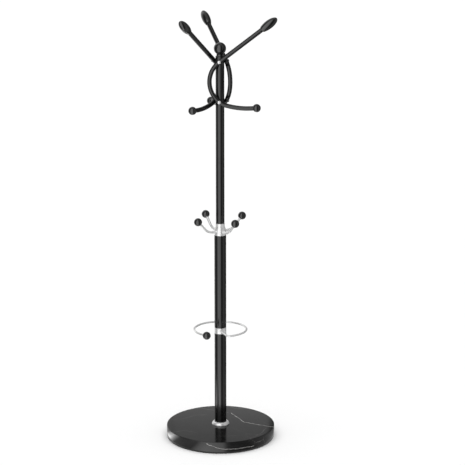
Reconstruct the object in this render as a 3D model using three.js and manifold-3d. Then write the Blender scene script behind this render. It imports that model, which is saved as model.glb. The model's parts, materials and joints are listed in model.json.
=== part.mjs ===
// A standing coat rack, in millimetres, +Z up, with its origin on the floor under the pole.
//
// A heavy round marble base carries a pole made of four tubes. A chrome umbrella ring sits on a
// sleeve between the two lowest tubes, and a chrome hub with four hooks sits where the pole steps
// down to its thinner upper half. Both turn about the pole on spacer tubes. Three identical bent
// tubes are bolted round the top, a third of a turn apart: each has a long arm with an oval knob
// above and a coat hook with a ball below. A ball finial closes the pole.

import * as THREE from 'three';
import { mergeVertices } from 'three/addons/utils/BufferGeometryUtils.js';
import Module from 'manifold-3d';

const wasm = await Module();
wasm.setup();

// ---------------------------------------------------------------- driving dimensions

const GAP = 0.3; // kept between pieces that touch
const END_CLEARANCE = 1; // left beyond the end of a rod, bolt or stud in a blind hole

const BASE_RADIUS = 216;
const BASE_TOP = 47.5;
const BASE_BEVEL = 2;
const PAD_RADIUS = 206;
const PAD_THICKNESS = 2;
const RECESS_RADIUS = 30;
const RECESS_DEPTH = 14;
const WASHER_RADIUS = 27;
const WASHER_THICKNESS = 3;

const LOWER_TUBE_RADIUS = 23.4;
const UPPER_TUBE_RADIUS = 16.9;
const TUBE_WALL = 1.5;

// Heights of the seams along the pole, from the floor.
const SLEEVE_BOTTOM = 429;
const SLEEVE_TOP = 453.5;
const HUB_BOTTOM = 829.5;
const HUB_TOP = 877.5;
const JOINT_RING_BOTTOM = 1120.5;
const JOINT_RING_TOP = 1136;
const POLE_TOP = 1532;

const STUD_RADIUS = 5; // M10 studs and base bolt
const BOLT_CLEARANCE = 0.6; // between the base bolt and the marble
const HEX_RADIUS = 9.2; // the base bolt's head, across corners / 2
const HEX_HEIGHT = 6.4;
const PLUG_LENGTH = 18;
const SPACER_RADIUS = 10;

const COLLAR_RADIUS = 35;
const COLLAR_HEIGHT = 12;
const COLLAR_LIP = 2.5; // height of the collar's upright edge, below its rolled shoulder
const COLLAR_ROLL = 80; // degrees that the shoulder turns in

const BALL_RADIUS = 16;
const BALL_SOCKET = 13; // depth of the socket that takes the rod
const BALL_FLAT = 2; // width of the flat round the socket's mouth
const FINIAL_RADIUS = 24;
const FINIAL_FLAT_RADIUS = 11;
const FINIAL_SOCKET = 20;
const FINIAL_STUD_RADIUS = 4;
const NECK_RADIUS = 13.5;
const NECK_HEIGHT = 9.5;
const CAP_PLUG_LENGTH = 12;
const CAP_FLANGE = 2; // height of the flange that covers the tube's end
const CAP_TAPER = 2; // height over which the flange narrows to the neck

const RING_RADIUS = 103.5; // umbrella ring, centre line
const RING_ROD_RADIUS = 4;
const RING_STEM_OFFSET = 6.7; // how far the stem's line passes from the pole's axis
const RING_STEM_HEADING = -65;
const RING_STEM_BEND = 16;
const RING_ROD_HEIGHT = 15.5; // above the sleeve's foot
const RING_END_ANGLE = 243;
const RING_SOCKET = 6; // depth of the rod in the sleeve

const HUB_SKIRT = 22; // height of the wide cylinder that the hooks leave from
const HUB_SHOULDER = 13; // height of the cone above it
const HUB_NECK_RADIUS = UPPER_TUBE_RADIUS + 1.2;
const HUB_HOOKS = 4;
const HUB_TURN = 39.3; // degrees from +X to the first hook
const HUB_ROD_RADIUS = 5;
const HUB_ROD_HEIGHT = 14.5; // above the hub's foot
const HUB_SOCKET = 7; // depth of a hook in the hub
const HUB_HOOK_RISE = 4; // degrees at which a hook leaves the hub
const HUB_HOOK_LEVEL = 24; // length of that first straight run
const HUB_HOOK_BEND = 45;
const HUB_HOOK_LIFT = 42; // degrees of bend
const HUB_HOOK_REACH = 103.5; // from the pole's axis to the ball's centre

const ARMS = 3;
const ARM_TUBE_RADIUS = 8.8;
const ARM_WALL = 1.5;
const ARM_SLOPE = 37.6;
const UPPER_BOLT_HEIGHT = 1514;
const LOWER_BOLT_HEIGHT = 1360;
const ARM_REACH = 205.5; // from the upper bolt to the knob's foot, along the tube
const HOOK_FIRST_BEND = 75;
const HOOK_FIRST_TURN = 22.6;
const HOOK_LAST_BEND = 300;
const HOOK_LAST_TURN = 19;
const ARM_HOOK_REACH = 143.5; // from the lower bolt to the ball's centre
const KNOB_LENGTH = 72;
const KNOB_RADIUS = 16.6;
const KNOB_WIDEST = 0.46; // share of the length at which the knob is widest
const KNOB_FOOT_RADIUS = 11.1;
const KNOB_SOCKET = 16;

const BOLT_RADIUS = 2.5;
const BOLT_HEAD_RADIUS = 6.5;
const BOLT_RIM = 1; // height of the head's upright edge
const DOME_ANGLE = THREE.MathUtils.degToRad(50);
const NUT_RADIUS = 4.5;
const NUT_LENGTH = 9;

// ---------------------------------------------------------------- detail of the facets

const TURN_SEGMENTS = 32;
const FINIAL_SEGMENTS = 24;
const BALL_SEGMENTS = 16;
const SMALL_TURN_SEGMENTS = 12;
const BASE_SEGMENTS = 64;
const FINIAL_STEPS = 9; // facets from a ball's flat to its top
const BALL_STEPS = 6;
const KNOB_STEPS = 5; // facets from the knob's foot to its widest place, and on to its tip
const COLLAR_STEPS = 4;
const DOME_STEPS = 2;
const ROD_HALF_SIDES = 5;
const RING_ROD_HALF_SIDES = 4;
const BEND_STEP = 7.5; // degrees of bend between two rings of a bent tube
const RING_BEND_STEP = 10;

// ---------------------------------------------------------------- finishes

const FINISHES = {
  blackSteel: { color: 0x1d1d1f, roughness: 0.36, metalness: 0.3 },
  chrome: { color: 0xe6e7ea, roughness: 0.08, metalness: 1 },
  blackPlastic: { color: 0x111113, roughness: 0.22, metalness: 0 },
  blackMarble: { color: 0x2a292b, roughness: 0.15, metalness: 0 },
  zincSteel: { color: 0xa8abb0, roughness: 0.4, metalness: 1 },
  feltPad: { color: 0x2b2c2e, roughness: 0.95, metalness: 0 },
};

const UP = new THREE.Vector3(0, 0, 1);
const coatRack = new THREE.Group();

function addPart(name, geometry, finish, parent = coatRack) {
  const mesh = new THREE.Mesh(geometry, new THREE.MeshStandardMaterial(FINISHES[finish]));
  mesh.name = name;
  parent.add(mesh);
  return mesh;
}

// ---------------------------------------------------------------- turned pieces

// Outlines are [radius, height] pairs that keep the material on their left.
function turned(outline, segments = TURN_SEGMENTS) {
  const points = outline.map(([radius, height]) => new THREE.Vector2(Math.max(radius, 0), height));
  return new THREE.LatheGeometry(points, segments).rotateX(Math.PI / 2);
}

function arc(centreRadius, centreHeight, radius, from, to, steps) {
  const points = [];
  for (let i = 0; i <= steps; i += 1) {
    const angle = THREE.MathUtils.degToRad(from + ((to - from) * i) / steps);
    points.push([centreRadius + radius * Math.cos(angle), centreHeight + radius * Math.sin(angle)]);
  }
  return points;
}

function ringOutline(inner, outer, bottom, top) {
  return [[inner, bottom], [outer, bottom], [outer, top], [inner, top], [inner, bottom]];
}

function rodOutline(radius, bottom, top) {
  return [[0, bottom], [radius, bottom], [radius, top], [0, top]];
}

// A ball about its own centre, with a blind socket that opens downwards.
function ballOutline(radius, socketRadius, socketDepth, flatRadius, steps) {
  const flatAngle = THREE.MathUtils.radToDeg(Math.acos(flatRadius / radius));
  const flatHeight = -radius * Math.sin(THREE.MathUtils.degToRad(flatAngle));
  const surface = arc(0, 0, radius, -flatAngle, 90, steps);
  surface[surface.length - 1] = [0, radius];
  const socketTop = flatHeight + socketDepth;
  return [[0, socketTop], [socketRadius, socketTop], [socketRadius, flatHeight], ...surface];
}

function placeAlong(mesh, position, direction) {
  mesh.position.copy(position);
  mesh.quaternion.setFromUnitVectors(UP, direction.clone().normalize());
}

// ---------------------------------------------------------------- bent tubes and rods

// A path as a tube bender follows it, in a plane: a start, a heading in degrees, and moves that
// are either a straight run or a bend with a radius and a turn (anticlockwise is positive).
function bendStations(start, startHeading, moves, bendStep) {
  const stations = [{ x: start[0], y: start[1], heading: startHeading }];
  for (const move of moves) {
    const last = stations[stations.length - 1];
    const steps = move.run ? 1 : Math.ceil(Math.abs(move.turn) / bendStep);
    const direction = THREE.MathUtils.degToRad(last.heading);
    for (let i = 1; i <= steps; i += 1) {
      if (move.run) {
        const x = last.x + move.run * Math.cos(direction);
        const y = last.y + move.run * Math.sin(direction);
        stations.push({ x, y, heading: last.heading });
      } else {
        const side = Math.sign(move.turn);
        const heading = last.heading + (move.turn * i) / steps;
        const next = THREE.MathUtils.degToRad(heading);
        const x = last.x + side * move.radius * (Math.sin(next) - Math.sin(direction));
        const y = last.y + side * move.radius * (Math.cos(direction) - Math.cos(next));
        stations.push({ x, y, heading });
      }
    }
  }
  return stations;
}

class BentPath extends THREE.Curve {
  constructor(stations, origin, across, up) {
    super();
    this.stations = stations;
    this.origin = origin;
    this.across = across;
    this.up = up;
  }

  stationAt(t) {
    return this.stations[Math.round(t * (this.stations.length - 1))];
  }

  getPoint(t) {
    const { x, y } = this.stationAt(t);
    return this.origin.clone().addScaledVector(this.across, x).addScaledVector(this.up, y);
  }

  getPointAt(t) {
    return this.getPoint(t);
  }

  getTangent(t) {
    const heading = THREE.MathUtils.degToRad(this.stationAt(t).heading);
    const along = this.across.clone().multiplyScalar(Math.cos(heading));
    return along.addScaledVector(this.up, Math.sin(heading));
  }

  getTangentAt(t) {
    return this.getTangent(t);
  }
}

function sweep(path, radius, wall, halfSides) {
  const section = new THREE.Shape().absarc(0, 0, radius, 0, Math.PI * 2);
  if (wall > 0) {
    section.holes.push(new THREE.Path().absarc(0, 0, radius - wall, 0, Math.PI * 2));
  }
  const steps = path.stations.length - 1;
  const settings = { steps, curveSegments: halfSides, extrudePath: path };
  return new THREE.ExtrudeGeometry(section, settings);
}

// ---------------------------------------------------------------- cuts and joins

function toSolid(geometry) {
  const bare = geometry.clone();
  bare.deleteAttribute('normal');
  bare.deleteAttribute('uv');
  const merged = mergeVertices(bare, 1e-4);
  const triangles = [];
  for (let i = 0; i < merged.index.count; i += 3) {
    const corners = [0, 1, 2].map((k) => merged.index.getX(i + k));
    if (new Set(corners).size === 3) {
      triangles.push(...corners);
    }
  }
  return new wasm.Manifold(new wasm.Mesh({
    numProp: 3,
    vertProperties: new Float32Array(merged.attributes.position.array),
    triVerts: new Uint32Array(triangles),
  }));
}

function toGeometry(solid) {
  const mesh = solid.getMesh();
  const geometry = new THREE.BufferGeometry();
  geometry.setAttribute('position', new THREE.BufferAttribute(mesh.vertProperties, 3));
  geometry.setIndex(new THREE.BufferAttribute(mesh.triVerts, 1));
  geometry.computeVertexNormals();
  return geometry;
}

function cut(geometry, cutters) {
  const solid = cutters.reduce((left, cutter) => left.subtract(toSolid(cutter)), toSolid(geometry));
  return toGeometry(solid);
}

function join(first, second) {
  return toGeometry(toSolid(first).add(toSolid(second)));
}

// A drill that starts at a point and runs along a direction.
function drill(radius, length, start, direction) {
  const bit = new THREE.CylinderGeometry(radius, radius, length, SMALL_TURN_SEGMENTS);
  bit.translate(0, length / 2, 0);
  const turn = new THREE.Quaternion();
  turn.setFromUnitVectors(new THREE.Vector3(0, 1, 0), direction.clone().normalize());
  bit.applyQuaternion(turn);
  return bit.translate(start.x, start.y, start.z);
}

function radial(degrees, radius = 1, height = 0) {
  const angle = THREE.MathUtils.degToRad(degrees);
  return new THREE.Vector3(radius * Math.cos(angle), radius * Math.sin(angle), height);
}

// ---------------------------------------------------------------- base

const marbleBottom = PAD_THICKNESS + GAP;
const recessTop = marbleBottom + RECESS_DEPTH;
const boltHole = STUD_RADIUS + BOLT_CLEARANCE;

function addBase() {
  addPart('base_pad', turned(rodOutline(PAD_RADIUS, 0, PAD_THICKNESS), BASE_SEGMENTS), 'feltPad');

  const marble = [
    [RECESS_RADIUS, marbleBottom],
    [BASE_RADIUS - BASE_BEVEL, marbleBottom],
    [BASE_RADIUS, marbleBottom + BASE_BEVEL],
    [BASE_RADIUS, BASE_TOP - BASE_BEVEL],
    [BASE_RADIUS - BASE_BEVEL, BASE_TOP],
    [boltHole, BASE_TOP],
    [boltHole, recessTop],
    [RECESS_RADIUS, recessTop],
    [RECESS_RADIUS, marbleBottom],
  ];
  addPart('marble_base', turned(marble, BASE_SEGMENTS), 'blackMarble');

  const washerBottom = recessTop - GAP - WASHER_THICKNESS;
  const washer = ringOutline(boltHole, WASHER_RADIUS, washerBottom, recessTop - GAP);
  addPart('base_washer', turned(washer), 'zincSteel');

  const headTop = washerBottom - GAP;
  const head = new THREE.CylinderGeometry(HEX_RADIUS, HEX_RADIUS, HEX_HEIGHT, 6);
  head.rotateX(Math.PI / 2).translate(0, 0, headTop - HEX_HEIGHT / 2);
  const shank = rodOutline(STUD_RADIUS, headTop - HEX_HEIGHT / 2, BASE_TOP + PLUG_LENGTH);
  addPart('base_bolt', join(head, turned(shank, SMALL_TURN_SEGMENTS)), 'zincSteel');

  const collarBottom = BASE_TOP + GAP;
  const collarInner = LOWER_TUBE_RADIUS + GAP;
  const roll = COLLAR_HEIGHT - COLLAR_LIP;
  const collar = [
    [collarInner, collarBottom],
    [COLLAR_RADIUS, collarBottom],
    ...arc(COLLAR_RADIUS - roll, collarBottom + COLLAR_LIP, roll, 0, COLLAR_ROLL, COLLAR_STEPS),
    [collarInner, collarBottom + COLLAR_HEIGHT],
    [collarInner, collarBottom],
  ];
  addPart('base_collar', turned(collar), 'chrome');
}

// ---------------------------------------------------------------- pole

function addTube(name, radius, bottom, top, holes = []) {
  const tube = turned(ringOutline(radius - TUBE_WALL, radius, bottom + GAP, top - GAP));
  addPart(name, holes.length ? cut(tube, holes) : tube, 'blackSteel');
}

function addPlug(name, tubeRadius, bottom) {
  const outer = tubeRadius - TUBE_WALL - GAP;
  const plug = ringOutline(STUD_RADIUS + GAP, outer, bottom, bottom + PLUG_LENGTH);
  addPart(name, turned(plug, SMALL_TURN_SEGMENTS), 'zincSteel');
}

function addStud(name, radius, bottom, top) {
  addPart(name, turned(rodOutline(radius, bottom, top), SMALL_TURN_SEGMENTS), 'zincSteel');
}

// The spacer is clamped between two plugs, so what turns round it stays free.
function addSpacer(name, bottom, top) {
  const spacer = ringOutline(STUD_RADIUS + GAP, SPACER_RADIUS, bottom, top);
  addPart(name, turned(spacer, SMALL_TURN_SEGMENTS), 'zincSteel');
}

function nutHoles() {
  const holes = [];
  for (let i = 0; i < ARMS; i += 1) {
    const outward = radial((360 / ARMS) * i - 90);
    for (const height of [LOWER_BOLT_HEIGHT, UPPER_BOLT_HEIGHT]) {
      const start = new THREE.Vector3(0, 0, height).addScaledVector(outward, NUT_RADIUS);
      holes.push(drill(NUT_RADIUS + GAP, UPPER_TUBE_RADIUS, start, outward));
    }
  }
  return holes;
}

function addPole() {
  addTube('lower_pole', LOWER_TUBE_RADIUS, BASE_TOP, SLEEVE_BOTTOM);
  addPlug('lower_pole_bottom_plug', LOWER_TUBE_RADIUS, BASE_TOP + GAP);
  addPlug('lower_pole_top_plug', LOWER_TUBE_RADIUS, SLEEVE_BOTTOM - GAP - PLUG_LENGTH);

  addSpacer('ring_spacer', SLEEVE_BOTTOM, SLEEVE_TOP);
  addStud('ring_stud', STUD_RADIUS, SLEEVE_BOTTOM - PLUG_LENGTH, SLEEVE_TOP + PLUG_LENGTH);

  addTube('middle_pole', LOWER_TUBE_RADIUS, SLEEVE_TOP, HUB_BOTTOM);
  addPlug('middle_pole_bottom_plug', LOWER_TUBE_RADIUS, SLEEVE_TOP + GAP);
  addPlug('middle_pole_top_plug', LOWER_TUBE_RADIUS, HUB_BOTTOM - GAP - PLUG_LENGTH);

  addSpacer('hub_spacer', HUB_BOTTOM, HUB_TOP);
  addStud('hub_stud', STUD_RADIUS, HUB_BOTTOM - PLUG_LENGTH, HUB_TOP + PLUG_LENGTH);

  addTube('upper_pole', UPPER_TUBE_RADIUS, HUB_TOP, JOINT_RING_BOTTOM);
  addPlug('upper_pole_bottom_plug', UPPER_TUBE_RADIUS, HUB_TOP + GAP);
  addPlug('upper_pole_top_plug', UPPER_TUBE_RADIUS, JOINT_RING_BOTTOM - GAP - PLUG_LENGTH);

  const joint = ringOutline(STUD_RADIUS + GAP, UPPER_TUBE_RADIUS, JOINT_RING_BOTTOM, JOINT_RING_TOP);
  addPart('pole_joint_ring', turned(joint), 'blackSteel');
  const jointStudBottom = JOINT_RING_BOTTOM - PLUG_LENGTH;
  addStud('pole_joint_stud', STUD_RADIUS, jointStudBottom, JOINT_RING_TOP + PLUG_LENGTH);

  addTube('top_pole', UPPER_TUBE_RADIUS, JOINT_RING_TOP, POLE_TOP, nutHoles());
  addPlug('top_pole_bottom_plug', UPPER_TUBE_RADIUS, JOINT_RING_TOP + GAP);
  addCap();
}

// The cap closes the pole: a plug in the tube with the neck that the finial ball stands on.
function addCap() {
  const plugBottom = POLE_TOP - GAP - CAP_PLUG_LENGTH;
  const plugRadius = UPPER_TUBE_RADIUS - TUBE_WALL - GAP;
  const hole = FINIAL_STUD_RADIUS + GAP;
  const neckTop = POLE_TOP + NECK_HEIGHT;
  const cap = [
    [hole, plugBottom],
    [plugRadius, plugBottom],
    [plugRadius, POLE_TOP],
    [UPPER_TUBE_RADIUS, POLE_TOP],
    [UPPER_TUBE_RADIUS, POLE_TOP + CAP_FLANGE],
    [NECK_RADIUS, POLE_TOP + CAP_FLANGE + CAP_TAPER],
    [NECK_RADIUS, neckTop],
    [hole, neckTop],
    [hole, plugBottom],
  ];
  addPart('finial_neck', turned(cap), 'blackPlastic');

  const studTop = neckTop + FINIAL_SOCKET - END_CLEARANCE;
  addStud('finial_stud', FINIAL_STUD_RADIUS, plugBottom, studTop);
  const ball = ballOutline(FINIAL_RADIUS, hole, FINIAL_SOCKET, FINIAL_FLAT_RADIUS, FINIAL_STEPS);
  const flatToCentre = Math.sqrt(FINIAL_RADIUS ** 2 - FINIAL_FLAT_RADIUS ** 2);
  const mesh = addPart('finial_ball', turned(ball, FINIAL_SEGMENTS), 'blackPlastic');
  mesh.position.set(0, 0, neckTop + GAP + flatToCentre);
}

function sinDegrees(degrees) {
  return Math.sin(THREE.MathUtils.degToRad(degrees));
}

function cosDegrees(degrees) {
  return Math.cos(THREE.MathUtils.degToRad(degrees));
}

// A rod ends this far short of the centre of its ball (past it, when negative).
function rodToBallCentre(rodRadius) {
  const flatToCentre = Math.sqrt(BALL_RADIUS ** 2 - (rodRadius + BALL_FLAT) ** 2);
  return flatToCentre - BALL_SOCKET + END_CLEARANCE;
}

function addEndBall(name, path, rodRadius, parent = coatRack) {
  const flatRadius = rodRadius + BALL_FLAT;
  const outline = ballOutline(BALL_RADIUS, rodRadius + GAP, BALL_SOCKET, flatRadius, BALL_STEPS);
  const mesh = addPart(name, turned(outline, BALL_SEGMENTS), 'blackPlastic', parent);
  const direction = path.getTangent(1);
  placeAlong(mesh, path.getPoint(1).addScaledVector(direction, rodToBallCentre(rodRadius)), direction);
}

// Adds a last straight run that brings the ball's centre out to the reach.
function runToReach(start, heading, moves, reach, rodRadius) {
  const end = bendStations(start, heading, moves, BEND_STEP).pop();
  const run = (reach - end.x) / cosDegrees(end.heading) - rodToBallCentre(rodRadius);
  return [...moves, { run }];
}

// ---------------------------------------------------------------- umbrella ring

function addUmbrellaRing() {
  const along = radial(RING_STEM_HEADING);
  const left = radial(RING_STEM_HEADING + 90);
  const stemFoot = LOWER_TUBE_RADIUS - RING_SOCKET;

  // The stem runs straight out, bends round until it meets the ring's circle from inside, and
  // then follows that circle to a last straight run that fits the ball's socket.
  const centreLeft = RING_STEM_BEND - RING_STEM_OFFSET;
  const centreAlong = Math.sqrt((RING_RADIUS - RING_STEM_BEND) ** 2 - centreLeft ** 2);
  const meetAngle = THREE.MathUtils.radToDeg(Math.atan2(centreLeft, centreAlong));
  const lastRunAngle = THREE.MathUtils.radToDeg(BALL_SOCKET / RING_RADIUS);
  const moves = [
    { run: centreAlong - stemFoot },
    { radius: RING_STEM_BEND, turn: 90 + meetAngle },
    { radius: RING_RADIUS, turn: RING_END_ANGLE - RING_STEM_HEADING - meetAngle - lastRunAngle },
    { run: BALL_SOCKET },
  ];
  const stations = bendStations([stemFoot, -RING_STEM_OFFSET], 0, moves, RING_BEND_STEP);
  const rodHeight = SLEEVE_BOTTOM + RING_ROD_HEIGHT;
  const path = new BentPath(stations, new THREE.Vector3(0, 0, rodHeight), along, left);

  const bore = SPACER_RADIUS + GAP;
  const sleeve = turned(ringOutline(bore, LOWER_TUBE_RADIUS, SLEEVE_BOTTOM + GAP, SLEEVE_TOP - GAP));
  const socketStart = path.getPoint(0).addScaledVector(along, -END_CLEARANCE);
  const socket = drill(RING_ROD_RADIUS + GAP, LOWER_TUBE_RADIUS, socketStart, along);
  addPart('ring_sleeve', cut(sleeve, [socket]), 'chrome');
  addPart('umbrella_ring', sweep(path, RING_ROD_RADIUS, 0, RING_ROD_HALF_SIDES), 'chrome');
  addEndBall('umbrella_ring_ball', path, RING_ROD_RADIUS);
}

// ---------------------------------------------------------------- hub and its hooks

function addHookHub() {
  const bore = SPACER_RADIUS + GAP;
  const foot = HUB_BOTTOM + GAP;
  const top = HUB_TOP - GAP;
  const hub = [
    [bore, foot],
    [LOWER_TUBE_RADIUS, foot],
    [LOWER_TUBE_RADIUS, foot + HUB_SKIRT],
    [HUB_NECK_RADIUS, foot + HUB_SKIRT + HUB_SHOULDER],
    [HUB_NECK_RADIUS, top],
    [bore, top],
    [bore, foot],
  ];
  const rodFoot = LOWER_TUBE_RADIUS - HUB_SOCKET;
  const rodHeight = HUB_BOTTOM + HUB_ROD_HEIGHT;

  // Each hook leaves the hub almost level and then bends up once to its ball.
  const start = [rodFoot, rodHeight];
  const level = [{ run: HUB_HOOK_LEVEL }, { radius: HUB_HOOK_BEND, turn: HUB_HOOK_LIFT }];
  const moves = runToReach(start, HUB_HOOK_RISE, level, HUB_HOOK_REACH, HUB_ROD_RADIUS);
  const stations = bendStations(start, HUB_HOOK_RISE, moves, BEND_STEP);

  const sockets = [];
  for (let i = 0; i < HUB_HOOKS; i += 1) {
    const outward = radial(HUB_TURN + (360 / HUB_HOOKS) * i);
    const path = new BentPath(stations, new THREE.Vector3(), outward, UP);
    const heading = path.getTangent(0);
    const socketStart = path.getPoint(0).addScaledVector(heading, -END_CLEARANCE);
    sockets.push(drill(HUB_ROD_RADIUS + GAP, LOWER_TUBE_RADIUS, socketStart, heading));
    const rod = sweep(path, HUB_ROD_RADIUS, 0, ROD_HALF_SIDES);
    addPart(`hub_hook_${i + 1}`, rod, 'chrome');
    addEndBall(`hub_hook_ball_${i + 1}`, path, HUB_ROD_RADIUS);
  }
  addPart('hook_hub', cut(turned(hub), sockets), 'chrome');
}

// ---------------------------------------------------------------- bent tubes at the top

// The foot has the tube's socket, and the widest place is just short of the middle.
function knobOutline() {
  const widest = KNOB_LENGTH * KNOB_WIDEST;
  const footShare = KNOB_FOOT_RADIUS / KNOB_RADIUS;
  const footLength = widest / Math.sqrt(1 - footShare ** 2);
  const socketRadius = ARM_TUBE_RADIUS + GAP;
  const outline = [[0, KNOB_SOCKET], [socketRadius, KNOB_SOCKET], [socketRadius, 0]];
  const tipLength = KNOB_LENGTH - widest;
  const footAngle = Math.asin(widest / footLength);
  for (let i = 0; i <= KNOB_STEPS; i += 1) {
    const angle = -footAngle * (1 - i / KNOB_STEPS);
    outline.push([KNOB_RADIUS * Math.cos(angle), widest + footLength * Math.sin(angle)]);
  }
  for (let i = 1; i < KNOB_STEPS; i += 1) {
    const angle = (Math.PI / 2) * (i / KNOB_STEPS);
    outline.push([KNOB_RADIUS * Math.cos(angle), widest + tipLength * Math.sin(angle)]);
  }
  outline.push([0, KNOB_LENGTH]);
  return outline;
}

// A domed bolt along +Z, with the underside of its head at zero.
function boltOutline(length) {
  const domeRadius = BOLT_HEAD_RADIUS / Math.sin(DOME_ANGLE);
  const domeCentre = BOLT_RIM - domeRadius * Math.cos(DOME_ANGLE);
  const rim = 90 - THREE.MathUtils.radToDeg(DOME_ANGLE);
  const dome = arc(0, domeCentre, domeRadius, rim, 90, DOME_STEPS);
  dome[dome.length - 1] = [0, domeCentre + domeRadius];
  return [[0, -length], [BOLT_RADIUS, -length], [BOLT_RADIUS, 0], [BOLT_HEAD_RADIUS, 0], ...dome];
}

function addArm(index) {
  const arm = new THREE.Group();
  arm.rotation.z = THREE.MathUtils.degToRad((360 / ARMS) * index);
  coatRack.add(arm);
  const number = index + 1;

  // The tube lies in a plane that touches the pole. From the knob it runs straight down to the
  // upper bolt, bows away from the arm as far as the lower bolt, and runs out to the ball.
  const offset = UPPER_TUBE_RADIUS + ARM_TUBE_RADIUS + GAP;
  const bowTurn = 180 - 2 * ARM_SLOPE;
  const bowRadius = (UPPER_BOLT_HEIGHT - LOWER_BOLT_HEIGHT) / 2 / sinDegrees(bowTurn / 2);
  const length = ARM_REACH + KNOB_SOCKET - END_CLEARANCE;
  const slope = [cosDegrees(ARM_SLOPE), sinDegrees(ARM_SLOPE)];
  const start = [length * slope[0], UPPER_BOLT_HEIGHT + length * slope[1]];
  const heading = 180 + ARM_SLOPE;
  const bends = [
    { run: length },
    { radius: bowRadius, turn: bowTurn },
    { radius: HOOK_FIRST_BEND, turn: HOOK_FIRST_TURN },
    { radius: HOOK_LAST_BEND, turn: HOOK_LAST_TURN },
  ];
  const moves = runToReach(start, heading, bends, ARM_HOOK_REACH, ARM_TUBE_RADIUS);
  const stations = bendStations(start, heading, moves, BEND_STEP);
  const plane = new THREE.Vector3(0, -offset, 0);
  const path = new BentPath(stations, plane, new THREE.Vector3(1, 0, 0), UP);

  const outward = new THREE.Vector3(0, -1, 0);
  const inward = new THREE.Vector3(0, 1, 0);
  const crest = offset + ARM_TUBE_RADIUS + GAP;
  const boltHeights = { upper: UPPER_BOLT_HEIGHT, lower: LOWER_BOLT_HEIGHT };
  const holes = Object.values(boltHeights).map((height) => (
    drill(BOLT_RADIUS + GAP, 3 * ARM_TUBE_RADIUS, new THREE.Vector3(0, -crest, height), inward)
  ));
  const tube = sweep(path, ARM_TUBE_RADIUS, ARM_WALL, ROD_HALF_SIDES);
  addPart(`coat_arm_${number}`, cut(tube, holes), 'blackSteel', arm);
  addEndBall(`arm_hook_ball_${number}`, path, ARM_TUBE_RADIUS, arm);

  const knobShape = turned(knobOutline(), BALL_SEGMENTS);
  const knob = addPart(`arm_knob_${number}`, knobShape, 'blackPlastic', arm);
  const alongArm = new THREE.Vector3(slope[0], 0, slope[1]);
  const knobFoot = new THREE.Vector3(0, -offset, UPPER_BOLT_HEIGHT).addScaledVector(alongArm, ARM_REACH);
  placeAlong(knob, knobFoot, alongArm);

  const nutTop = UPPER_TUBE_RADIUS - GAP;
  const nut = ringOutline(BOLT_RADIUS + GAP, NUT_RADIUS, nutTop - NUT_LENGTH, nutTop);
  const bolt = boltOutline(crest - nutTop + NUT_LENGTH - END_CLEARANCE);
  for (const [place, height] of Object.entries(boltHeights)) {
    const boltShape = turned(bolt, SMALL_TURN_SEGMENTS);
    const boltMesh = addPart(`arm_bolt_${place}_${number}`, boltShape, 'chrome', arm);
    placeAlong(boltMesh, new THREE.Vector3(0, -crest, height), outward);
    const nutShape = turned(nut, SMALL_TURN_SEGMENTS);
    const nutMesh = addPart(`pole_nut_${place}_${number}`, nutShape, 'zincSteel', arm);
    placeAlong(nutMesh, new THREE.Vector3(0, 0, height), outward);
  }
}

// ---------------------------------------------------------------- assembly

addBase();
addPole();
addUmbrellaRing();
addHookHub();
for (let i = 0; i < ARMS; i += 1) {
  addArm(i);
}

export default coatRack;
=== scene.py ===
"""A standing coat rack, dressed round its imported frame.

Metres, +Z up, with the origin on the floor under the pole.
"""

import json
import math

import bmesh
import bpy
from mathutils import Matrix, Vector


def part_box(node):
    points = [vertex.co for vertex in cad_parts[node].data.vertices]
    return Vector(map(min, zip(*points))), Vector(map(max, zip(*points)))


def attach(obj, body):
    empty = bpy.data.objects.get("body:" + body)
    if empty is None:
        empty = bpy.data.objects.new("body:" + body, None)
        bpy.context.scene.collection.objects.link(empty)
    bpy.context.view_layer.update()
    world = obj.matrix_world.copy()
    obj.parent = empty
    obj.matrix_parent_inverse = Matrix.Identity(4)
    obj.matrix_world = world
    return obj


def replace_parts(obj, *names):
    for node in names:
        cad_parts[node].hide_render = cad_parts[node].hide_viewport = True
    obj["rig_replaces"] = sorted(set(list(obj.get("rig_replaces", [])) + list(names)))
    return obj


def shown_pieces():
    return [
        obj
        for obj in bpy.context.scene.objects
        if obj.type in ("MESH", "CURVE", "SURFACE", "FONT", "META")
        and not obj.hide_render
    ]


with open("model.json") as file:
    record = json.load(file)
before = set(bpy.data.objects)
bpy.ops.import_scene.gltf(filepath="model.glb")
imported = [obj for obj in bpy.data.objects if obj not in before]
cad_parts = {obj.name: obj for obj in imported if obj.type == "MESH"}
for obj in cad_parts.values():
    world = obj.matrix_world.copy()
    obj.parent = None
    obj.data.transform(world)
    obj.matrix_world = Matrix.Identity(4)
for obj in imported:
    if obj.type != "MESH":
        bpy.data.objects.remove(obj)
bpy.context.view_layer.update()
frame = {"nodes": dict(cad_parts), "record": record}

UP = Vector((0, 0, 1))
BODY_OF = {
    node: body
    for body, members in frame["record"]["behaviour"]["bodies"].items()
    for node in members
}

# ------------------------------------------------------------ dimensions the boxes don't give

MM = 0.001
TURN_SIDES = 72
BASE_SIDES = 192
ROD_SIDES = 28
BALL_SIDES = 48
ARM_SIDES = 40
BOLT_SIDES = 40
FINIAL_STEPS = 40
KNOB_STEPS = 16
DOME_STEPS = 8
ON_AXIS = 1e-6
BEND_STEP = math.radians(3)
SHARP_ANGLE = math.radians(32)

TUBE_WALL = 1.5 * MM
TUBE_CHAMFER = 0.8 * MM
MARBLE_EDGE = 2.0 * MM
METAL_EDGE = 0.8 * MM
GAP = 0.3 * MM  # kept between pieces that touch

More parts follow.
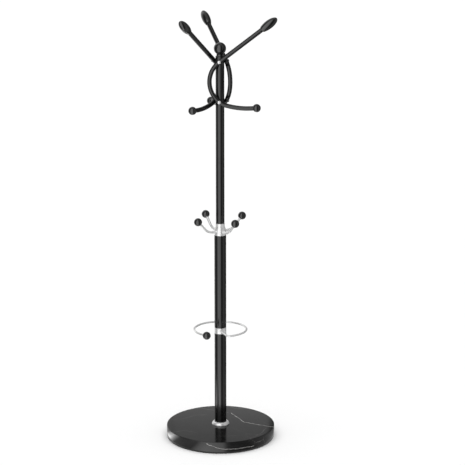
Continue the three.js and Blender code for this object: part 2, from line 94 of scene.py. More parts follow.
PAD_EDGE = 0.3 * MM
BASE_BOLT_CLEARANCE = 0.6 * MM
BASE_WASHER_CLEARANCE = 3 * MM
COLLAR_RIM = 3 * MM
COLLAR_SHOULDER_IN = 3.5 * MM
COLLAR_SHOULDER_DROP = 2.5 * MM
COLLAR_LIP = 4 * MM

FINIAL_RADIUS = 24 * MM
FINIAL_FLAT_RADIUS = 11 * MM
NECK_RADIUS = 13.5 * MM
NECK_FLANGE = 2 * MM
NECK_SHOULDER = 4 * MM

BALL_RADIUS = 16 * MM
BALL_FLAT = 2 * MM  # width of a ball's flat round the rod that enters it
BALL_SOCKET = 13 * MM
END_CLEARANCE = 1 * MM

RING_ROD_RADIUS = 4 * MM
RING_RADIUS = 103.5 * MM
RING_STEM_OFFSET = 6.7 * MM
RING_STEM_HEADING = math.radians(-65)
RING_STEM_BEND = 16 * MM
RING_END_ANGLE = math.radians(243)
RING_SOCKET = 6 * MM

HUB_SKIRT = 22 * MM
HUB_SHOULDER = 13 * MM
HUB_NECK_STEP = 1.2 * MM
HUB_ROUNDING = 3 * MM
HUB_HOOKS = 4
HUB_TURN = math.radians(39.3)
HUB_ROD_RADIUS = 5 * MM
HUB_ROD_HEIGHT = 14.5 * MM
HUB_SOCKET = 7 * MM
HUB_HOOK_RISE = math.radians(4)
HUB_HOOK_LEVEL = 24 * MM
HUB_HOOK_BEND = 45 * MM
HUB_HOOK_LIFT = math.radians(42)
HUB_HOOK_REACH = 103.5 * MM

ARMS = 3
ARM_RADIUS = 8.8 * MM
ARM_SLOPE = math.radians(37.6)
ARM_REACH = 205.5 * MM
ARM_HOOK_REACH = 143.5 * MM
HOOK_FIRST_BEND = 75 * MM
HOOK_FIRST_TURN = math.radians(22.6)
HOOK_LAST_BEND = 300 * MM
HOOK_LAST_TURN = math.radians(19)
KNOB_LENGTH = 71.5 * MM  # the CAD knob is 72 mm: a smooth one that long bulges past its facets
KNOB_RADIUS = 16.6 * MM
KNOB_WIDEST = 0.46  # where the knob is widest, as a share of its length
KNOB_FOOT_RADIUS = 11.1 * MM
KNOB_SOCKET = 16 * MM
BOLT_RADIUS = 2.5 * MM
BOLT_RIM = 1 * MM
DOME_ANGLE = math.radians(50)

# ------------------------------------------------------------ the frame's own places


def low(node):
    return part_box(node)[0]


def high(node):
    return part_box(node)[1]


def middle(node):
    return (low(node) + high(node)) / 2


pole_radius = high("lower_pole").x
thin_pole_radius = high("upper_pole").x

# ------------------------------------------------------------ outlines and meshes


def arc(centre, radius, start, end, steps):
    """Points (radius, height) of an arc about a centre, from one angle to another."""
    points = []
    for i in range(steps + 1):
        angle = start + (end - start) * i / steps
        points.append((centre[0] + radius * math.cos(angle), centre[1] + radius * math.sin(angle)))
    return points


def rounded(corners, steps=5):
    """The points of a closed outline of (radius, height, rounding) corners."""
    points = []
    for i, (x, y, rounding) in enumerate(corners):
        corner = Vector((x, y))
        if rounding == 0:
            points.append(corner)
            continue
        to_last = (Vector(corners[i - 1][:2]) - corner).normalized()
        to_next = (Vector(corners[(i + 1) % len(corners)][:2]) - corner).normalized()
        half_angle = to_last.angle(to_next) / 2
        centre = corner + (to_last + to_next).normalized() * rounding / math.sin(half_angle)
        first = corner + to_last * rounding / math.tan(half_angle) - centre
        last = corner + to_next * rounding / math.tan(half_angle) - centre
        for k in range(steps + 1):
            share = k / steps
            direction = (first * (1 - share) + last * share).normalized()
            points.append(centre + direction * rounding)
    return points


def turned(outline, sides=TURN_SIDES):
    """A solid turned round +Z from a closed outline. A point on the axis is one vertex."""
    mesh = bmesh.new()
    rings = []
    for radius, height in outline:
        count = sides if radius > ON_AXIS else 1
        ring = []
        for i in range(count):
            angle = 2 * math.pi * i / sides
            ring.append(mesh.verts.new((radius * math.cos(angle), radius * math.sin(angle), height)))
        rings.append(ring)
    for i, ring in enumerate(rings):
        last = rings[i - 1]
        if len(ring) == len(last) == 1:
            continue
        for k in range(sides):
            after = (k + 1) % sides
            corners = [last[k % len(last)], last[after % len(last)]]
            corners += [ring[after % len(ring)], ring[k % len(ring)]]
            mesh.faces.new(list(dict.fromkeys(corners)))
    bmesh.ops.recalc_face_normals(mesh, faces=mesh.faces)
    return mesh


def bent(start, heading, moves):
    """Stations (x, y, heading) of a bent rod: moves are (length,) runs and (radius, turn) bends."""
    stations = [(start[0], start[1], heading)]
    for move in moves:
        x, y, old = stations[-1]
        if len(move) == 1:
            stations.append((x + move[0] * math.cos(old), y + move[0] * math.sin(old), old))
            continue
        radius, turn = move
        side = math.copysign(1, turn)
        steps = math.ceil(abs(turn) / BEND_STEP)
        for i in range(1, steps + 1):
            new = old + turn * i / steps
            across = x + side * radius * (math.sin(new) - math.sin(old))
            along = y + side * radius * (math.cos(old) - math.cos(new))
            stations.append((across, along, new))
    return stations


class Plane:
    """The plane that a rod is bent in: where its origin is, and which way its x and y run."""

    def __init__(self, origin, across, up):
        self.origin = Vector(origin)
        self.across = Vector(across)
        self.up = Vector(up)

    def point(self, station):
        return self.origin + self.across * station[0] + self.up * station[1]

    def tangent(self, station):
        return self.across * math.cos(station[2]) + self.up * math.sin(station[2])


def swept(plane, stations, radius, sides=ROD_SIDES):
    """A round rod along bent stations, closed at both ends."""
    mesh = bmesh.new()
    normal = plane.across.cross(plane.up)
    rings = []
    for station in stations:
        side = plane.tangent(station).cross(normal)
        ring = []
        for i in range(sides):
            angle = 2 * math.pi * i / sides
            spoke = normal * math.cos(angle) + side * math.sin(angle)
            ring.append(mesh.verts.new(plane.point(station) + spoke * radius))
        rings.append(ring)
    for last, ring in zip(rings, rings[1:]):
        for k in range(sides):
            after = (k + 1) % sides
            mesh.faces.new((last[k], last[after], ring[after], ring[k]))
    mesh.faces.new(rings[0])
    mesh.faces.new(rings[-1])
    bmesh.ops.recalc_face_normals(mesh, faces=mesh.faces)
    return mesh


def placed(mesh, position, direction=UP):
    """Turns a mesh from +Z to a direction and moves its origin to a position."""
    turn = UP.rotation_difference(Vector(direction)).to_matrix().to_4x4()
    mesh.transform(Matrix.Translation(position) @ turn)
    return mesh


def add_object(name, mesh, material):
    """Puts a mesh into the scene as an object with one material."""
    data = bpy.data.meshes.new(name)
    mesh.to_mesh(data)
    mesh.free()
    data.materials.append(material)
    made = bpy.data.objects.new(name, data)
    bpy.context.scene.collection.objects.link(made)
    return made


def dress(node, mesh, slot):
    """Shows a fine mesh in place of a CAD node, on the same body."""
    skin = add_object(node + "_skin", mesh, MATERIALS[slot])
    skin.data.shade_smooth()
    skin.data.set_sharp_from_angle(angle=SHARP_ANGLE)
    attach(skin, BODY_OF[node])
    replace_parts(skin, node)


# ------------------------------------------------------------ materials


class Shader:
    """A node material with a Principled shader, and short calls to wire its nodes."""

    def __init__(self, name, **settings):
        self.material = bpy.data.materials.new(name)
        self.material.use_nodes = True
        self.tree = self.material.node_tree
        self.principled = self.tree.nodes["Principled BSDF"]
        for socket, value in settings.items():
            self.principled.inputs[socket.replace("_", " ")].default_value = value
        self.place = self.node("ShaderNodeTexCoord").outputs["Object"]

    def node(self, kind, settings=None, **sockets):
        made = self.tree.nodes.new(kind)
        for name, value in (settings or {}).items():
            setattr(made, name, value)
        for name, value in sockets.items():
            self.feed(made.inputs[name.replace("_", " ")], value)
        return made

    def feed(self, socket, value):
        if isinstance(value, bpy.types.NodeSocket):
            self.tree.links.new(value, socket)
        else:
            socket.default_value = value

    def set(self, socket, value):
        self.feed(self.principled.inputs[socket], value)

    def noise(self, scale, detail=3.0, roughness=0.5, place=None):
        made = self.node("ShaderNodeTexNoise", Scale=scale, Detail=detail, Roughness=roughness)
        self.feed(made.inputs["Vector"], place or self.place)
        return made.outputs["Fac"]

    def remap(self, value, low_in, high_in, low_out, high_out):
        made = self.node("ShaderNodeMapRange", Value=value)
        for name, number in (
            ("From Min", low_in), ("From Max", high_in), ("To Min", low_out), ("To Max", high_out),
        ):
            made.inputs[name].default_value = number
        return made.outputs["Result"]

    def spread(self, noise, low_out, high_out):
        """The middle of a noise's range, where most of it lies, stretched over another range."""
        return self.remap(noise, 0.3, 0.7, low_out, high_out)

    def math(self, operation, first, second=0.0):
        made = self.node("ShaderNodeMath", {"operation": operation})
        self.feed(made.inputs[0], first)
        self.feed(made.inputs[1], second)
        return made.outputs[0]

    def vector(self, operation, first, second=(0, 0, 0), output="Vector"):
        made = self.node("ShaderNodeVectorMath", {"operation": operation})
        self.feed(made.inputs[0], first)
        self.feed(made.inputs[1], second)
        return made.outputs[output]

    def mix(self, share, first, second):
        """A blend of two colours. A Mix node's colour sockets are inputs 6 and 7 and output 2."""
        made = self.node("ShaderNodeMix", {"data_type": "RGBA"})
        self.feed(made.inputs[0], share)
        self.feed(made.inputs[6], first)
        self.feed(made.inputs[7], second)
        return made.outputs[2]

    def bump(self, height, strength, distance):
        made = self.node("ShaderNodeBump", Height=height, Strength=strength, Distance=distance)
        self.set("Normal", made.outputs["Normal"])


def grey(level, warmth=0.0):
    return (level * (1 + warmth), level, level * (1 - warmth), 1)


def powder_coat():
    """Black satin powder coat on steel: a fine orange peel, with slightly uneven sheen."""
    shader = Shader("black_powder_coat", Specular_IOR_Level=0.85)
    cloud = shader.noise(18, detail=2)
    peel = shader.noise(900, detail=2)
    shader.set("Base Color", shader.mix(cloud, grey(0.003), grey(0.005)))
    shader.set("Roughness", shader.spread(shader.noise(60, detail=4), 0.14, 0.2))
    shader.bump(peel, 0.03, 0.2 * MM)
    return shader.material


def chrome():
    """Plated steel: a bright mirror with faint polishing haze."""
    shader = Shader("chrome_plate", Metallic=0.55)
    haze = shader.noise(45, detail=5)
    shader.set("Base Color", shader.mix(haze, grey(0.88), grey(0.94)))
    shader.set("Roughness", shader.spread(haze, 0.12, 0.18))
    shader.bump(shader.noise(260, detail=2), 0.02, 0.2 * MM)
    return shader.material


def gloss_plastic():
    """Moulded black plastic: glossy, with the slight waviness of a moulding."""
    shader = Shader("black_gloss_plastic", Specular_IOR_Level=0.6, Coat_Weight=1.0, Coat_Roughness=0.04)
    flow = shader.noise(35, detail=3)
    shader.set("Base Color", shader.mix(flow, grey(0.003), grey(0.005)))
    shader.set("Roughness", shader.spread(flow, 0.06, 0.1))
    shader.bump(shader.noise(140, detail=1), 0.04, 0.3 * MM)
    return shader.material


# Each vein is a sheet through the stone: its points, its width and how white it is. These cross
# the stone from above, with their points in shares of the base's radius.
VEINS_FROM_ABOVE = [
    ([(0.14, 0.58), (0.43, 0.115), (0.64, 0.01), (0.91, -0.075), (1.02, -0.1)], 1.7 * MM, 1.0),
    ([(-0.62, 0.85), (-0.5, 0.82), (-0.14, 0.72), (0.1, 0.6)], 1.1 * MM, 0.5),
    ([(-1.0, 0.12), (-0.72, 0.2), (-0.5, 0.42), (-0.3, 0.46)], 0.9 * MM, 0.22),
    ([(-0.05, 1.0), (0.28, 0.86), (0.5, 0.9)], 1.0 * MM, 0.4),
    ([(-0.86, -0.55), (-0.6, -0.42), (-0.42, -0.5)], 0.9 * MM, 0.2),
]

# One more slopes down through the rim, in shares of the base's radius and of its height.
RIM_VEIN = [(-0.17, 0.79), (0.02, 0.55), (0.2, 0.39), (0.48, 0.37), (0.68, 0.43)]
RIM_VEIN_WIDTH = 1.4 * MM
RIM_VEIN_WEIGHT = 0.8
VEIN_WANDER = 0.022


def vein(shader, place, points, width):
    """How strongly a vein shows: one near the line through its points, falling to zero away from it."""
    nearest = None
    for start, end in zip(points, points[1:]):
        run = Vector(end) - Vector(start)
        offset = shader.vector("SUBTRACT", place, tuple(start))
        along = shader.vector("DOT_PRODUCT", offset, tuple(run / run.length_squared), "Value")
        share = shader.remap(along, 0, 1, 0, 1)
        foot = shader.node("ShaderNodeVectorMath", {"operation": "SCALE"}, Scale=share)
        foot.inputs[0].default_value = tuple(run)
        gap = shader.vector("SUBTRACT", offset, foot.outputs[0])
        distance = shader.vector("LENGTH", gap, output="Value")
        nearest = distance if nearest is None else shader.math("MINIMUM", nearest, distance)
    return shader.remap(nearest, 0, width, 1, 0)


def wandering_place(shader):
    """The place that the veins are looked up at, moved by noise so that they wander a few millimetres."""
    wander = shader.node("ShaderNodeTexNoise", Scale=22.0, Detail=4.0, Vector=shader.place)
    shift = shader.vector("SUBTRACT", wander.outputs["Color"], (0.5, 0.5, 0.5))
    scaled = shader.node("ShaderNodeVectorMath", {"operation": "SCALE"}, Scale=VEIN_WANDER)
    shader.feed(scaled.inputs[0], shift)
    return shader.vector("ADD", shader.place, scaled.outputs[0])


def strongest_vein(shader, warped):
    """How strongly the strongest of all the veins shows at a place."""
    radius = high("marble_base").x
    top = high("marble_base").z
    plan = shader.vector("MULTIPLY", warped, (1, 1, 0))
    front = shader.vector("MULTIPLY", warped, (1, 0, 1))
    strength = None
    for points, width, weight in VEINS_FROM_ABOVE:
        line = [(x * radius, y * radius, 0) for x, y in points]
        one = shader.math("MULTIPLY", vein(shader, plan, line, width), weight)
        strength = one if strength is None else shader.math("MAXIMUM", strength, one)
    line = [(x * radius, 0, z * top) for x, z in RIM_VEIN]
    one = shader.math("MULTIPLY", vein(shader, front, line, RIM_VEIN_WIDTH), RIM_VEIN_WEIGHT)
    return shader.math("MAXIMUM", strength, one)


def black_marble():
    """Polished black marble: grey clouds, a few broken white veins through it and faint hairlines."""
    shader = Shader("black_marble", Specular_IOR_Level=0.5)
    warped = wandering_place(shader)
    strength = strongest_vein(shader, warped)
    hairs = shader.node("ShaderNodeTexVoronoi", {"feature": "DISTANCE_TO_EDGE"}, Scale=9.0)
    shader.feed(hairs.inputs["Vector"], warped)
    hair = shader.remap(hairs.outputs["Distance"], 0, 0.01, 0.16, 0)
    patch = shader.remap(shader.noise(7, detail=2), 0.54, 0.68, 0, 1)
    strength = shader.math("MAXIMUM", strength, shader.math("MULTIPLY", hair, patch))
    broken = shader.remap(shader.noise(38, detail=5, roughness=0.7), 0.36, 0.56, 0.25, 1)
    strength = shader.math("MULTIPLY", strength, broken)

    cloud = shader.noise(26, detail=7, roughness=0.65)
    grains = shader.remap(cloud, 0.35, 0.7, 0, 1)
    stone = shader.mix(grains, grey(0.003), grey(0.009, 0.02))
    shader.set("Base Color", shader.mix(strength, stone, grey(0.7, 0.02)))
    shader.set("Roughness", shader.spread(cloud, 0.12, 0.18))
    shader.bump(strength, 0.02, 0.1 * MM)
    return shader.material


def zinc():
    """Zinc-plated steel: dull, with pale crystal patches."""
    shader = Shader("zinc_plate", Metallic=1.0)
    crystals = shader.node("ShaderNodeTexVoronoi", Scale=220.0, Vector=shader.place)
    shade = shader.remap(crystals.outputs["Color"], 0, 1, 0, 1)
    shader.set("Base Color", shader.mix(shade, grey(0.42, -0.02), grey(0.6, -0.01)))
    shader.set("Roughness", shader.spread(shader.noise(120), 0.32, 0.46))
    shader.bump(shader.noise(700), 0.05, 0.1 * MM)
    return shader.material


def felt():
    """The pad under the base: dark and matt, with a short tangled grain like felt."""
    shader = Shader("felt", Specular_IOR_Level=0.1)
    fibres = shader.noise(1400, detail=6, roughness=0.7)
    tufts = shader.noise(160, detail=3)
    shade = shader.math("MULTIPLY", fibres, tufts)
    shader.set("Base Color", shader.mix(shade, grey(0.012), grey(0.05)))
    shader.set("Roughness", shader.spread(fibres, 0.88, 1.0))
    shader.bump(fibres, 0.5, 0.5 * MM)
    return shader.material


MATERIALS = {
    "black_steel": powder_coat(),
    "chrome": chrome(),
    "black_plastic": gloss_plastic(),
    "black_marble": black_marble(),
    "zinc_steel": zinc(),
    "felt_pad": felt(),
}

# ------------------------------------------------------------ base


def dress_base():
    bottom, top = low("base_pad").z, high("base_pad").z
    radius = high("base_pad").x
    pad = rounded([(0, bottom, 0), (radius, bottom, PAD_EDGE), (radius, top, PAD_EDGE), (0, top, 0)])
    dress("base_pad", turned(pad, BASE_SIDES), "felt_pad")

    bottom, top = low("marble_base").z, high("marble_base").z
    radius = high("marble_base").x
    hole = high("base_bolt").x + BASE_BOLT_CLEARANCE
    recess = high("base_washer").x + BASE_WASHER_CLEARANCE
    recess_top = high("base_washer").z + GAP
    marble = rounded([
        (recess, bottom, 0.5 * MM),
        (radius, bottom, MARBLE_EDGE),
        (radius, top, MARBLE_EDGE),
        (hole, top, 0),
        (hole, recess_top, 0),
        (recess, recess_top, 0),
    ])
    dress("marble_base", turned(marble, BASE_SIDES), "black_marble")

    bottom, top = low("base_collar").z, high("base_collar").z
    radius = high("base_collar").x
    inner = pole_radius + GAP
    collar = rounded([
        (inner, bottom, 0),
        (radius, bottom, 0.3 * MM),
        (radius, bottom + COLLAR_RIM, 1 * MM),
        (radius - COLLAR_SHOULDER_IN, top - COLLAR_SHOULDER_DROP, 3 * MM),
        (inner + COLLAR_LIP, top, 2 * MM),
        (inner, top, METAL_EDGE),
    ])
    dress("base_collar", turned(collar, BASE_SIDES), "chrome")


# ------------------------------------------------------------ pole


def tube_outline(node, inner):
    bottom, top = low(node).z, high(node).z
    outer = high(node).x
    return rounded([
        (inner, bottom, 0),
        (outer, bottom, TUBE_CHAMFER),
        (outer, top, TUBE_CHAMFER),
        (inner, top, 0),
    ])


def dress_pole():
    for node in ("lower_pole", "middle_pole", "upper_pole", "top_pole"):
        inner = high(node).x - TUBE_WALL
        dress(node, turned(tube_outline(node, inner)), "black_steel")
    bore = high("pole_joint_stud").x + GAP
    dress("pole_joint_ring", turned(tube_outline("pole_joint_ring", bore)), "black_steel")


def ball_outline(radius, flat_radius, steps=24):
    """A ball about its own centre, with a small flat below, round the rod that enters it."""
    flat_height = -math.sqrt(radius ** 2 - flat_radius ** 2)
    start = math.asin(flat_height / radius)
    surface = arc((0, 0), radius, start, math.pi / 2, steps)
    return [(0, flat_height), *surface[:-1], (0, radius)]


def dress_finial():
    flange_bottom = high("top_pole").z + GAP
    neck_top = high("finial_neck").z
    plug_bottom = low("finial_neck").z
    plug_radius = thin_pole_radius - TUBE_WALL - GAP
    neck = rounded([
        (0, plug_bottom, 0),
        (plug_radius, plug_bottom, METAL_EDGE),
        (plug_radius, flange_bottom, 0),
        (thin_pole_radius, flange_bottom, 0),
        (thin_pole_radius, flange_bottom + NECK_FLANGE, METAL_EDGE),
        (NECK_RADIUS, flange_bottom + NECK_SHOULDER, METAL_EDGE),
        (NECK_RADIUS, neck_top, METAL_EDGE),
        (0, neck_top, 0),
    ])
    dress("finial_neck", turned(neck), "black_plastic")

    centre = (0, 0, high("finial_ball").z - FINIAL_RADIUS)
    ball = turned(ball_outline(FINIAL_RADIUS, FINIAL_FLAT_RADIUS, FINIAL_STEPS))
    dress("finial_ball", placed(ball, centre), "black_plastic")


# ------------------------------------------------------------ bent rods with a ball on the end


def rod_to_ball_centre(rod_radius):
    """How far short of its ball's centre a rod ends."""
    flat_to_centre = math.sqrt(BALL_RADIUS ** 2 - (rod_radius + BALL_FLAT) ** 2)
    return flat_to_centre - BALL_SOCKET + END_CLEARANCE


def dress_ball(node, plane, stations, rod_radius):
    end = stations[-1]
    direction = plane.tangent(end)
    centre = plane.point(end) + direction * rod_to_ball_centre(rod_radius)
    ball = turned(ball_outline(BALL_RADIUS, rod_radius + BALL_FLAT), BALL_SIDES)
    dress(node, placed(ball, centre, direction), "black_plastic")


def bent_to_reach(start, heading, moves, reach, rod_radius):
    """Stations of a rod whose last straight run brings its ball's centre out to the reach."""
    x, _, end_heading = bent(start, heading, moves)[-1]
    run = (reach - x) / math.cos(end_heading) - rod_to_ball_centre(rod_radius)
    return bent(start, heading, [*moves, (run,)])


# ------------------------------------------------------------ umbrella ring


def dress_umbrella_ring():
    along = Vector((math.cos(RING_STEM_HEADING), math.sin(RING_STEM_HEADING), 0))
    left = UP.cross(along)
    foot = pole_radius - RING_SOCKET
    centre_left = RING_STEM_BEND - RING_STEM_OFFSET
    centre_along = math.sqrt((RING_RADIUS - RING_STEM_BEND) ** 2 - centre_left ** 2)
    meet = math.atan2(centre_left, centre_along)
    last_run = BALL_SOCKET / RING_RADIUS
    moves = [
        (centre_along - foot,),
        (RING_STEM_BEND, math.pi / 2 + meet),
        (RING_RADIUS, RING_END_ANGLE - RING_STEM_HEADING - meet - last_run),
        (BALL_SOCKET,),
    ]
    plane = Plane((0, 0, middle("umbrella_ring").z), along, left)
    stations = bent((foot, -RING_STEM_OFFSET), 0, moves)
    dress("umbrella_ring", swept(plane, stations, RING_ROD_RADIUS), "chrome")
    dress_ball("umbrella_ring_ball", plane, stations, RING_ROD_RADIUS)

    bottom, top = low("ring_sleeve").z, high("ring_sleeve").z
    bore = high("ring_spacer").x + GAP
    sleeve = rounded([
        (bore, bottom, 0),
        (pole_radius, bottom, METAL_EDGE),
        (pole_radius, top, METAL_EDGE),
        (bore, top, 0),
    ])
    dress("ring_sleeve", turned(sleeve), "chrome")


# ------------------------------------------------------------ hub and its hooks


def dress_hub():
    bottom, top = low("hook_hub").z, high("hook_hub").z
    bore = high("hub_spacer").x + GAP
    neck = thin_pole_radius + HUB_NECK_STEP
    hub = rounded([
        (bore, bottom, 0),
        (pole_radius, bottom, METAL_EDGE),
        (pole_radius, bottom + HUB_SKIRT, HUB_ROUNDING),
        (neck, bottom + HUB_SKIRT + HUB_SHOULDER, HUB_ROUNDING),
        (neck, top, METAL_EDGE),
        (bore, top, 0),
    ])
    dress("hook_hub", turned(hub), "chrome")

    rod_height = bottom - GAP + HUB_ROD_HEIGHT
    start = (pole_radius - HUB_SOCKET, rod_height)
    moves = [(HUB_HOOK_LEVEL,), (HUB_HOOK_BEND, HUB_HOOK_LIFT)]
    stations = bent_to_reach(start, HUB_HOOK_RISE, moves, HUB_HOOK_REACH, HUB_ROD_RADIUS)
    for i in range(HUB_HOOKS):
        angle = HUB_TURN + 2 * math.pi * i / HUB_HOOKS
        plane = Plane((0, 0, 0), (math.cos(angle), math.sin(angle), 0), UP)
        dress(f"hub_hook_{i + 1}", swept(plane, stations, HUB_ROD_RADIUS), "chrome")
        dress_ball(f"hub_hook_ball_{i + 1}", plane, stations, HUB_ROD_RADIUS)


# ------------------------------------------------------------ bent tubes at the top


def knob_outline():
    """A knob along +Z from its foot: two quarter ellipses that meet where it is widest. The lower
    one is cut off at the foot, where the arm's socket goes in."""
    widest = KNOB_LENGTH * KNOB_WIDEST
    foot_share = KNOB_FOOT_RADIUS / KNOB_RADIUS
    foot_length = widest / math.sqrt(1 - foot_share ** 2)
    points = [(0, KNOB_SOCKET), (ARM_RADIUS + GAP, KNOB_SOCKET), (ARM_RADIUS + GAP, 0)]
    foot_angle = math.asin(widest / foot_length)
    for i in range(KNOB_STEPS + 1):
        angle = -foot_angle * (1 - i / KNOB_STEPS)
        points.append((KNOB_RADIUS * math.cos(angle), widest + foot_length * math.sin(angle)))
    for i in range(1, KNOB_STEPS):
        angle = math.pi / 2 * i / KNOB_STEPS
        tip = (KNOB_LENGTH - widest) * math.sin(angle)
        points.append((KNOB_RADIUS * math.cos(angle), widest + tip))
    return [*points, (0, KNOB_LENGTH)]


def bolt_outline(length, head_radius):
    """A domed bolt along +Z, with the underside of its head at zero."""
    dome_radius = head_radius / math.sin(DOME_ANGLE)
    dome_centre = BOLT_RIM - dome_radius * math.cos(DOME_ANGLE)
    dome = arc((0, dome_centre), dome_radius, math.pi / 2 - DOME_ANGLE, math.pi / 2, DOME_STEPS)
    shank = [(0, -length), (BOLT_RADIUS, -length), (BOLT_RADIUS, 0), (head_radius, 0)]
    return [*shank, *dome[:-1], (0, dome_centre + dome_radius)]


def dress_arm(index):
    """Arm 1 lies along +X, in a plane that touches the pole; each next one is a third of a turn on."""
    number = index + 1
    turn = Matrix.Rotation(2 * math.pi * index / ARMS, 3, "Z")
    offset = thin_pole_radius + ARM_RADIUS + GAP
    upper = middle("arm_bolt_upper_1").z
    lower = middle("arm_bolt_lower_1").z

    bow_turn = math.pi - 2 * ARM_SLOPE
    bow_radius = (upper - lower) / 2 / math.sin(bow_turn / 2)
    length = ARM_REACH + KNOB_SOCKET - END_CLEARANCE
    start = (length * math.cos(ARM_SLOPE), upper + length * math.sin(ARM_SLOPE))
    moves = [
        (length,),
        (bow_radius, bow_turn),
        (HOOK_FIRST_BEND, HOOK_FIRST_TURN),
        (HOOK_LAST_BEND, HOOK_LAST_TURN),
    ]
    heading = math.pi + ARM_SLOPE
    stations = bent_to_reach(start, heading, moves, ARM_HOOK_REACH, ARM_RADIUS)
    plane = Plane(turn @ Vector((0, -offset, 0)), turn @ Vector((1, 0, 0)), UP)
    dress(f"coat_arm_{number}", swept(plane, stations, ARM_RADIUS, ARM_SIDES), "black_steel")
    dress_ball(f"arm_hook_ball_{number}", plane, stations, ARM_RADIUS)

    foot = (ARM_REACH * math.cos(ARM_SLOPE), upper + ARM_REACH * math.sin(ARM_SLOPE), ARM_SLOPE)
    knob = placed(turned(knob_outline(), BALL_SIDES), plane.point(foot), plane.tangent(foot))
    dress(f"arm_knob_{number}", knob, "black_plastic")

    crest = offset + ARM_RADIUS + GAP
    nut_bottom = low("pole_nut_upper_1").y
    for place, height in (("upper", upper), ("lower", lower)):
        node = f"arm_bolt_{place}_{number}"
        size = high(f"arm_bolt_{place}_1") - low(f"arm_bolt_{place}_1")
        bolt = turned(bolt_outline(crest + nut_bottom, size.z / 2), BOLT_SIDES)
        outward = turn @ Vector((0, -1, 0))
        dress(node, placed(bolt, outward * crest + UP * height, outward), "chrome")


# ------------------------------------------------------------ inner metal parts, as they are


def dress_inner_metal():
    replaced = {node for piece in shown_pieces() for node in piece.get("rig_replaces", [])}
    for node, shown in frame["nodes"].items():
        if node not in replaced and not shown.hide_render:
            shown.data.materials.clear()
            shown.data.materials.append(MATERIALS["zinc_steel"])


dress_base()
dress_pole()
dress_finial()
dress_umbrella_ring()
dress_hub()
for arm in range(ARMS):
    dress_arm(arm)
dress_inner_metal()

# ------------------------------------------------------------ camera

CAMERA_TURN = math.radians(5.02)
CAMERA_PITCH = math.radians(13.597)
CAMERA_DISTANCE = 6.666
AIM_SIDE = 0.0501
AIM_HEIGHT = 0.8375
PHOTO_SIDE = 465

CAMERA_LENS = 131.6
CAMERA_REACH = 200
HALF_PIXEL = 0.5 / PHOTO_SIDE


def add_camera():
    """The photo's camera: turned and pitched about an aim point, which is beside the pole."""
    turn = Matrix.Rotation(CAMERA_TURN, 3, "Z")
    aim = turn @ Vector((AIM_SIDE, 0, AIM_HEIGHT))
    back = turn @ Vector((0, -math.cos(CAMERA_PITCH), math.sin(CAMERA_PITCH)))
    data = bpy.data.cameras.new("camera")
    data.lens = CAMERA_LENS
    data.shift_x = -HALF_PIXEL
    data.shift_y = HALF_PIXEL
    data.clip_end = CAMERA_REACH
    camera = bpy.data.objects.new("camera", data)
    camera.location = aim + back * CAMERA_DISTANCE
    camera.rotation_euler = (math.pi / 2 - CAMERA_PITCH, 0, CAMERA_TURN)
    bpy.context.scene.collection.objects.link(camera)
    bpy.context.scene.camera = camera


add_camera()

# ------------------------------------------------------------ studio

FLOOR_RADIUS = 60
FLOOR_SIDES = 96
SKY_STRENGTH = 0.4
SUN_STRENGTH = 2.3
SUN_SPREAD = math.radians(80)
SUN_TILT = (math.radians(6), math.radians(-3), 0)
SURROUND_FOOT = high("marble_base").x + 0.012
SURROUND_RADIUS = 0.8
SURROUND_HEIGHT = 3.2
SURROUND_STEP = 3  # degrees

# The surround's brightness by the angle in degrees from the camera, to the viewer's right: a big
# softbox in front and to the left, black flags on both sides of it, a weaker light behind on the
# left, and dim fill behind on the right.
SURROUND_GLOW = [
    (-162, 0.3), (-150, 0.8), (-129, 0.8), (-111, 0.25), (-99, 0.1), (-75, 0.08), (-54, 0.7),
    (-42, 1.3), (-33, 1.4), (-12, 1.2), (3, 1.15), (9, 0.8), (15, 0.1), (39, 0.08), (51, 0.3),
    (81, 0.35), (99, 0.12), (162, 0.1),
]

# The same for the surround's foot, which the marble's side mirrors: a narrow strip light at the
# far left, a wider one in front of the base, and little between them or to the right.
FOOT_GLOW = [
    (-162, 0.4), (-96, 0.6), (-88, 2.5), (-80, 4.4), (-74, 2.2), (-66, 0.5), (-36, 0.45),
    (-28, 1.8), (-17, 2.4), (-2, 2.0), (3, 1.7), (9, 0.4), (15, 0.2), (39, 0.2), (51, 0.4),
    (81, 0.45), (99, 0.25), (162, 0.2),
]


def add_floor():
    mesh = bmesh.new()
    bmesh.ops.create_circle(mesh, cap_ends=True, radius=FLOOR_RADIUS, segments=FLOOR_SIDES)
    shader = Shader("pale_floor", Specular_IOR_Level=0.0)
    shader.set("Base Color", shader.mix(shader.noise(2, detail=2), grey(0.9), grey(0.92)))
    shader.set("Roughness", 1.0)
    add_object("floor", mesh, shader.material)


def glow_at(glow, angle):
    """The brightness at an angle, between the two rows of a glow list that it lies between."""
    for (start, first), (end, last) in zip(glow, glow[1:]):
        if angle <= end:
            return first + (last - first) * (angle - start) / (end - start)
    return glow[-1][1]


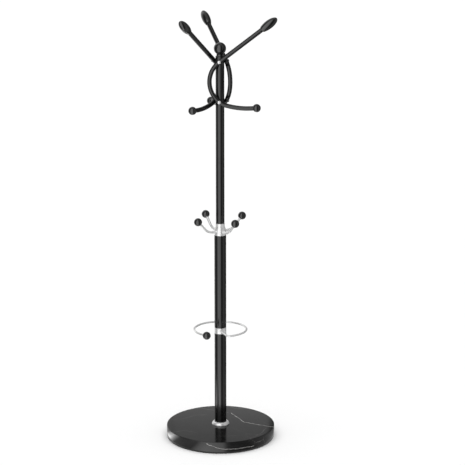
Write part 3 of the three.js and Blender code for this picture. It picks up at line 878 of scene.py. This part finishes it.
def surround_material():
    """Light as bright as each vertex says, and no reflection of its own."""
    material = bpy.data.materials.new("surround_glow")
    material.use_nodes = True
    tree = material.node_tree
    brightness = tree.nodes.new("ShaderNodeAttribute")
    brightness.attribute_name = "glow"
    emission = tree.nodes.new("ShaderNodeEmission")
    tree.links.new(brightness.outputs["Fac"], emission.inputs["Strength"])
    tree.links.new(emission.outputs[0], tree.nodes["Material Output"].inputs["Surface"])
    return material


def surround_column(mesh, glow, angle):
    """The surround's vertices at one angle: at its foot, and at the wall's bottom and top."""
    heading = math.radians(angle) + CAMERA_TURN - math.pi / 2
    outward = Vector((math.cos(heading), math.sin(heading), 0))
    column = []
    for radius, height, brightness in (
        (SURROUND_FOOT, MM, FOOT_GLOW),
        (SURROUND_RADIUS, MM, SURROUND_GLOW),
        (SURROUND_RADIUS, SURROUND_HEIGHT, SURROUND_GLOW),
    ):
        vertex = mesh.verts.new(outward * radius + UP * height)
        vertex[glow] = glow_at(brightness, angle)
        column.append(vertex)
    return column


def add_surround():
    """A glowing wall round the rack that only reflections see, with a foot on the floor."""
    mesh = bmesh.new()
    glow = mesh.verts.layers.float.new("glow")
    start, end = SURROUND_GLOW[0][0], SURROUND_GLOW[-1][0]
    angles = range(start, end + 1, SURROUND_STEP)
    columns = [surround_column(mesh, glow, angle) for angle in angles]
    for last, column in zip(columns, columns[1:]):
        for k in range(2):
            mesh.faces.new((last[k], column[k], column[k + 1], last[k + 1]))
    surround = add_object("surround", mesh, surround_material())
    surround.visible_camera = False
    surround.visible_diffuse = False
    surround.visible_shadow = False
    surround.visible_transmission = False


def add_light():
    """An even pale sky, and one wide soft light from above that chrome and gloss don't show."""
    world = bpy.data.worlds.new("studio")
    world.use_nodes = True
    sky = world.node_tree.nodes["Background"]
    sky.inputs["Color"].default_value = (1, 1, 1, 1)
    sky.inputs["Strength"].default_value = SKY_STRENGTH
    bpy.context.scene.world = world

    sun_data = bpy.data.lights.new("overhead_softbox", "SUN")
    sun_data.energy = SUN_STRENGTH
    sun_data.angle = SUN_SPREAD
    sun = bpy.data.objects.new("overhead_softbox", sun_data)
    sun.rotation_euler = SUN_TILT
    sun.visible_glossy = False
    bpy.context.scene.collection.objects.link(sun)


add_floor()
add_light()
add_surround()

view = bpy.context.scene.view_settings
view.view_transform = "Standard"
view.look = "None"
